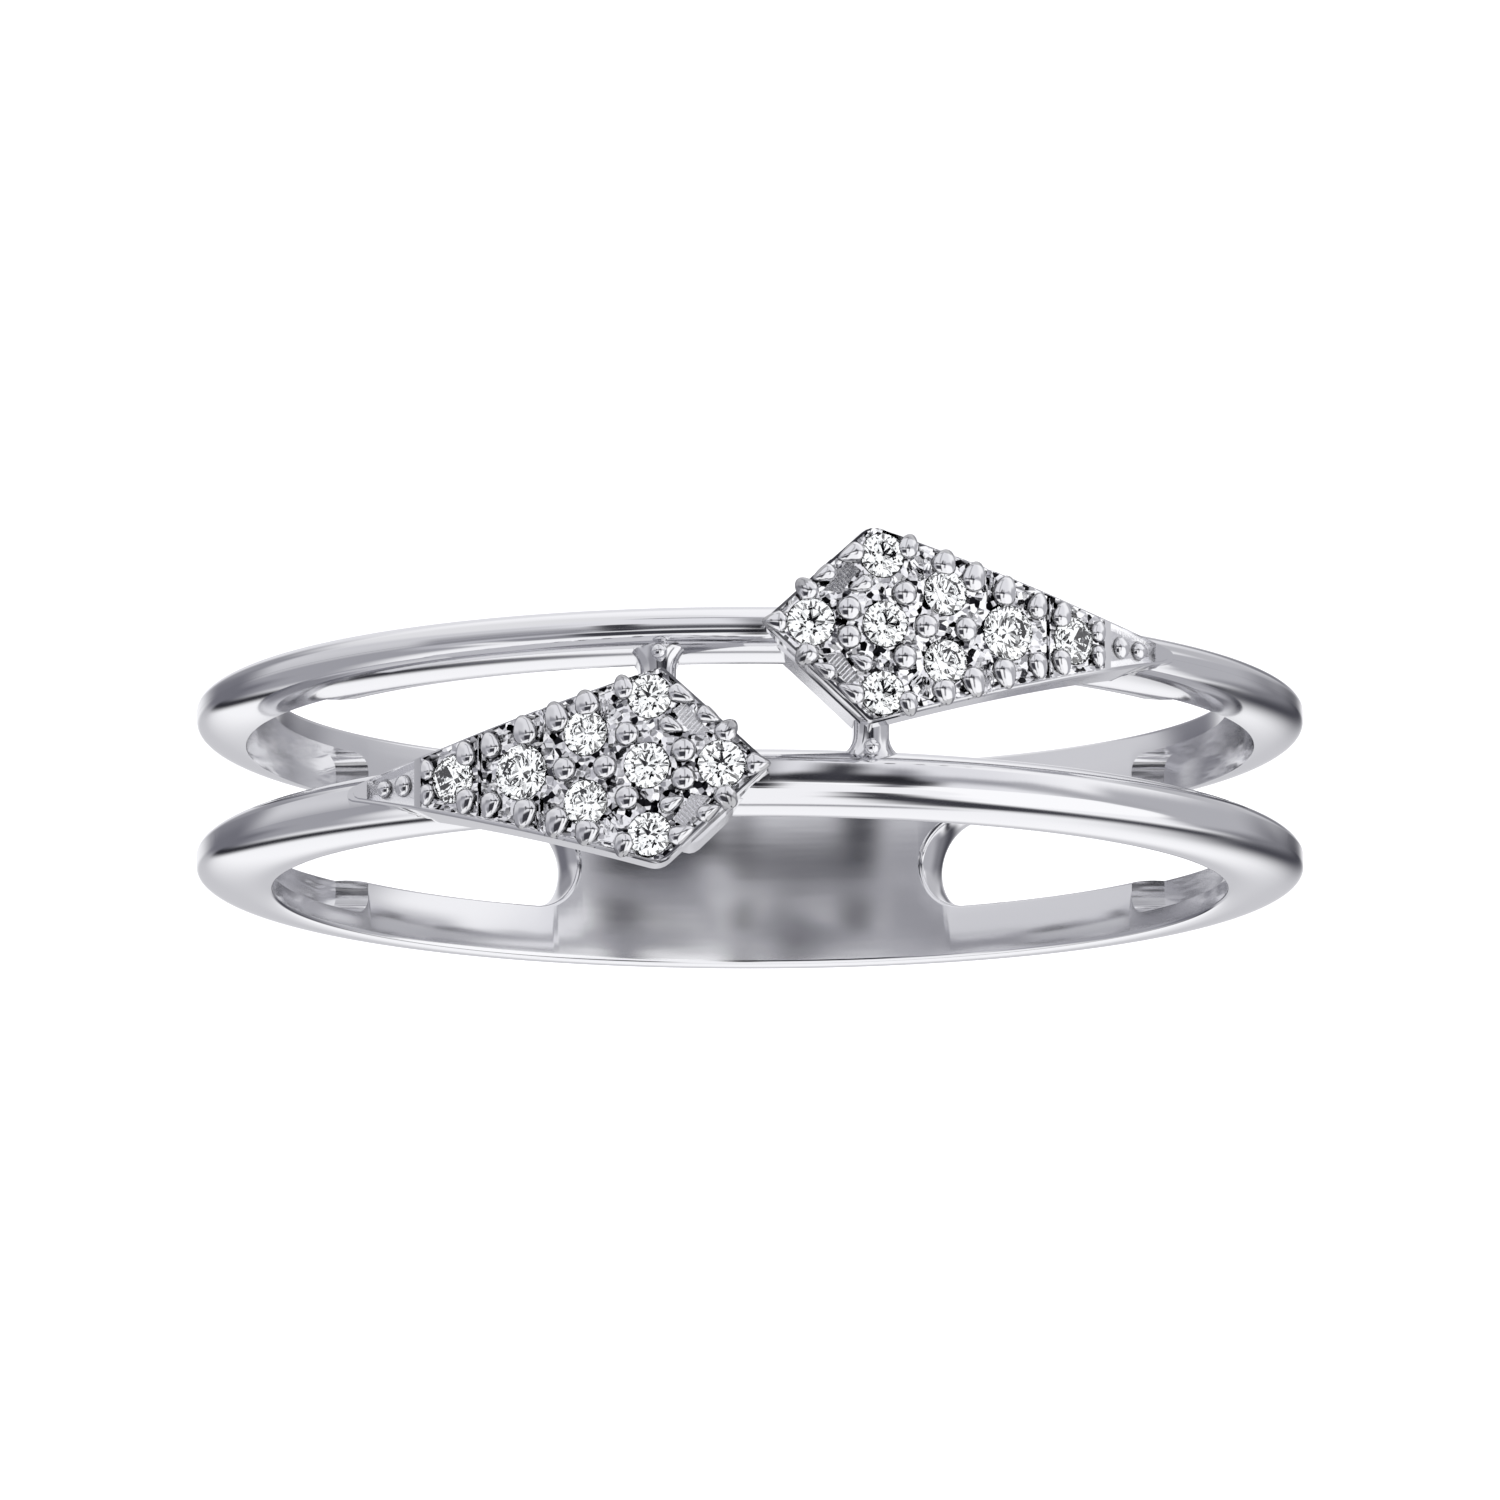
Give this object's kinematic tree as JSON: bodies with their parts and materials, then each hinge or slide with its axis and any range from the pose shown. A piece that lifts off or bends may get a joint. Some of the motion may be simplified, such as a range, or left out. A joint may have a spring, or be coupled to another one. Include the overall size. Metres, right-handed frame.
{
  "type": "stacking ring",
  "caption": "Slim finger ring of two bands joined behind the finger, with a pave-set kite of small brilliants on each band.",
  "frame": {"origin": "middle of the finger hole, on its axis and halfway across the ring", "axes": "+Z along the finger hole's axis, towards the side face by the upper kite; the kites face -Y and the plain back of the shank faces +Y"},
  "size_m": [0.0196, 0.0202, 0.006],
  "materials": {
    "white_gold": "rhodium-plated 14 carat white gold, mirror polished, duller inside the hollows of the shoulders",
    "diamond": "clear brilliant-cut diamond, polished facets"
  },
  "bodies": {
    "root": {"ring_body": "white_gold", "upper_blunt_stone": "diamond", "upper_outer_stone": "diamond", "upper_centre_stone": "diamond", "upper_inner_stone": "diamond", "upper_outer_side_stone": "diamond", "upper_inner_side_stone": "diamond", "upper_large_stone": "diamond", "upper_tip_stone": "diamond", "lower_blunt_stone": "diamond", "lower_outer_stone": "diamond", "lower_centre_stone": "diamond", "lower_inner_stone": "diamond", "lower_outer_side_stone": "diamond", "lower_inner_side_stone": "diamond", "lower_large_stone": "diamond", "lower_tip_stone": "diamond"}
  },
  "joints": []
}
